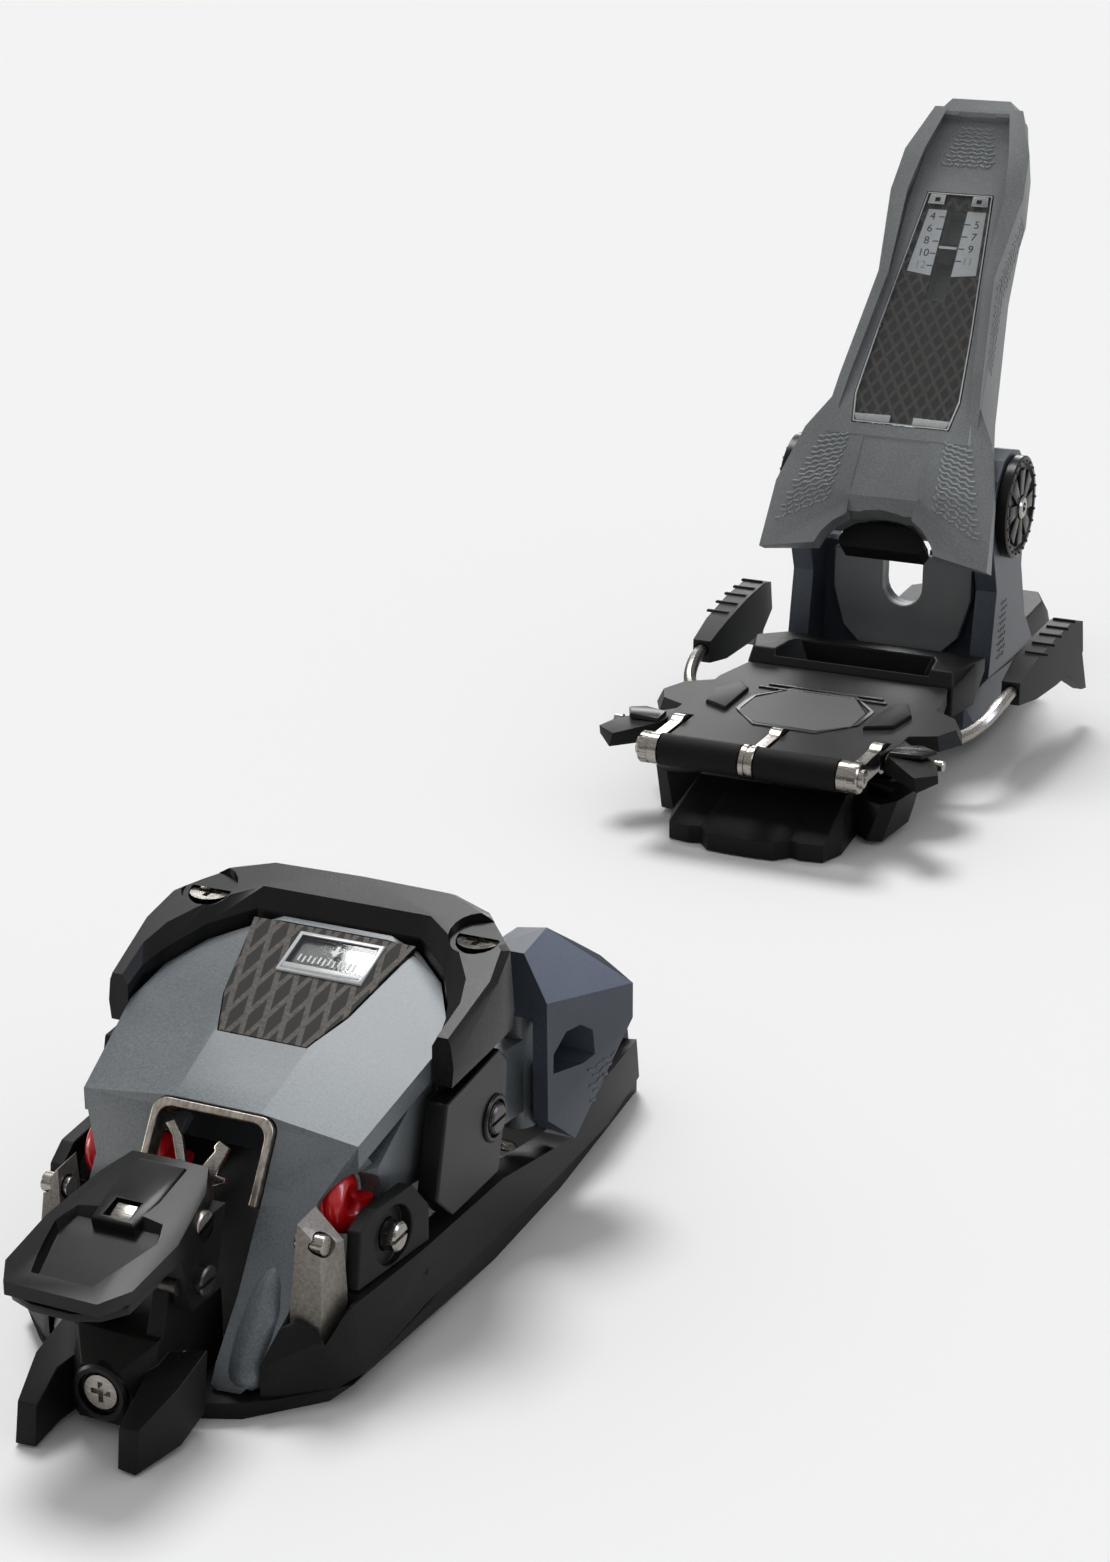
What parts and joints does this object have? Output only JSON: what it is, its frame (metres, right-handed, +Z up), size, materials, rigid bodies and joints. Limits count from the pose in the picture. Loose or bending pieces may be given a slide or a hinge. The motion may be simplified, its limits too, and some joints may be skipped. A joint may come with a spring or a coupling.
{
  "type": "touring binding",
  "caption": "Ski touring binding: a toe unit with side wings and walk lever, and a heel unit with a leaning tower, a brake pedal with rollers and side brake arms.",
  "frame": {"origin": "on the ski top, under the midpoint between the two screws of the toe arch", "axes": "+Z up from the ski top, -Y towards the ski tip, +X across the ski"},
  "size_m": [0.1068, 0.5538, 0.1757],
  "materials": {
    "shell": "mid grey fine metallic speckle, satin",
    "blue": "blue-grey, satin",
    "light": "light grey, satin",
    "black": "black, fine grain",
    "satin": "black, satin",
    "rubber": "black, matt",
    "pad": "dark grey, matt",
    "steel": "bright steel",
    "bare": "bare metal, satin",
    "red": "red lacquered spring wire",
    "label": "warm black printed film",
    "clear": "clear plastic",
    "white": "white print"
  },
  "bodies": {
    "base": {"toe_base_plate": "black", "toe_nose": "black", "front_screw": "steel", "lever_axle": "bare", "steel_fork": "steel", "toe_screw_left": "steel", "toe_screw_right": "steel", "side_lug_left": "black", "side_lug_right": "black", "side_bolt_left": "steel", "side_bolt_right": "steel", "coil_left": "red", "coil_right": "red", "side_latch_left": "satin", "side_latch_right": "satin", "latch_pin_left": "steel", "latch_pin_right": "steel", "heel_rail": "black", "heel_front_plate": "black", "heel_tail": "black", "length_screw": "steel"},
    "glide_plate": {"toe_glide_plate": "rubber"},
    "lever": {"tech_lever": "satin", "lever_latch": "steel"},
    "arm_left": {"tech_arm_left": "bare", "tech_pin_left": "steel"},
    "arm_right": {"tech_arm_right": "bare", "tech_pin_right": "steel"},
    "module": {"toe_housing": "shell", "toe_arch": "satin", "toe_opening_trim": "bare", "toe_label": "label", "toe_window": "clear", "arch_screw_left": "steel", "arch_screw_right": "steel"},
    "indicator": {"toe_indicator": "white"},
    "wing_left_body": {"wing_left": "blue"},
    "wing_right_body": {"wing_right": "blue"},
    "carriage": {"heel_stand": "blue", "inner_plate": "light", "heel_tray": "black", "pivot_axle": "steel", "pivot_disc_left": "black", "pivot_disc_right": "black"},
    "tower": {"heel_housing": "shell", "heel_pad": "rubber", "heel_label": "label", "heel_lens": "clear"},
    "slider": {"force_slider": "white"},
    "pedal": {"brake_pedal": "black", "glide_pad": "pad", "bail_pin": "steel"},
    "bail_frame": {"bail": "steel"},
    "roller_left_body": {"roller_left": "rubber"},
    "roller_right_body": {"roller_right": "rubber"},
    "brake_arms": {"brake_wire_left": "steel", "brake_wire_right": "steel", "brake_tip_left": "black", "brake_tip_right": "black"}
  },
  "joints": [
    {"name": "glide_slide", "type": "slide", "parent": "base", "child": "glide_plate", "axis": [1, 0, 0], "range_m": [-0.003, 0.003], "stiffness_N_per_m": 200},
    {"name": "lever_tilt", "type": "hinge", "parent": "base", "child": "lever", "pos_m": [0, -0.077, 0.027], "axis": [1, 0, 0], "range_deg": [0, 15]},
    {"name": "arm_left_open", "type": "hinge", "parent": "base", "child": "arm_left", "pos_m": [0.026, -0.0625, 0.008], "axis": [0, 1, 0], "range_deg": [0, 5]},
    {"name": "arm_right_open", "type": "hinge", "parent": "base", "child": "arm_right", "pos_m": [-0.026, -0.0625, 0.008], "axis": [0, -1, 0], "range_deg": [0, 5]},
    {"name": "module_lift", "type": "slide", "parent": "base", "child": "module", "axis": [0, 0, 1], "range_m": [0, 0.03]},
    {"name": "indicator_slide", "type": "slide", "parent": "module", "child": "indicator", "axis": [1, 0, 0], "range_m": [-0.003, 0.003]},
    {"name": "wing_left_open", "type": "hinge", "parent": "module", "child": "wing_left_body", "pos_m": [0.029, 0.02, 0.03], "axis": [0, 0, -1], "range_deg": [0, 20], "stiffness_Nm_per_rad": 0.5},
    {"name": "wing_right_open", "type": "hinge", "parent": "module", "child": "wing_right_body", "pos_m": [-0.029, 0.02, 0.03], "axis": [0, 0, 1], "range_deg": [0, 20], "stiffness_Nm_per_rad": 0.5},
    {"name": "heel_adjust", "type": "slide", "parent": "base", "child": "carriage", "axis": [0, 1, 0], "range_m": [-0.008, 0.008]},
    {"name": "tower_tilt", "type": "hinge", "parent": "carriage", "child": "tower", "pos_m": [0, 0.349, 0.068], "axis": [-1, 0, 0], "range_deg": [0, 40]},
    {"name": "force_set", "type": "slide", "parent": "tower", "child": "slider", "axis": [0, 0.6334, 0.7738], "range_m": [-0.009, 0.009]},
    {"name": "pedal_rise", "type": "hinge", "parent": "carriage", "child": "pedal", "pos_m": [0, 0.298, 0.0245], "axis": [-1, 0, 0], "range_deg": [0, 25]},
    {"name": "bail_fold", "type": "hinge", "parent": "pedal", "child": "bail_frame", "pos_m": [0, 0.245, 0.0235], "axis": [-1, 0, 0], "range_deg": [0, 95]},
    {"name": "roller_left_spin", "type": "hinge", "parent": "bail_frame", "child": "roller_left_body", "pos_m": [0.0137, 0.2246, 0.0247], "axis": [1, 0, 0], "continuous": true},
    {"name": "roller_right_spin", "type": "hinge", "parent": "bail_frame", "child": "roller_right_body", "pos_m": [-0.0137, 0.2246, 0.0247], "axis": [1, 0, 0], "continuous": true},
    {"name": "brake_swing", "type": "hinge", "parent": "carriage", "child": "brake_arms", "pos_m": [0, 0.284, 0.0166], "axis": [-1, 0, 0], "range_deg": [0, 60]}
  ],
  "couplings": [
    {"joint": "arm_left_open", "follows": "lever_tilt", "ratio": 0.3333},
    {"joint": "arm_right_open", "follows": "lever_tilt", "ratio": 0.3333},
    {"joint": "brake_swing", "follows": "pedal_rise", "ratio": 2.4}
  ]
}
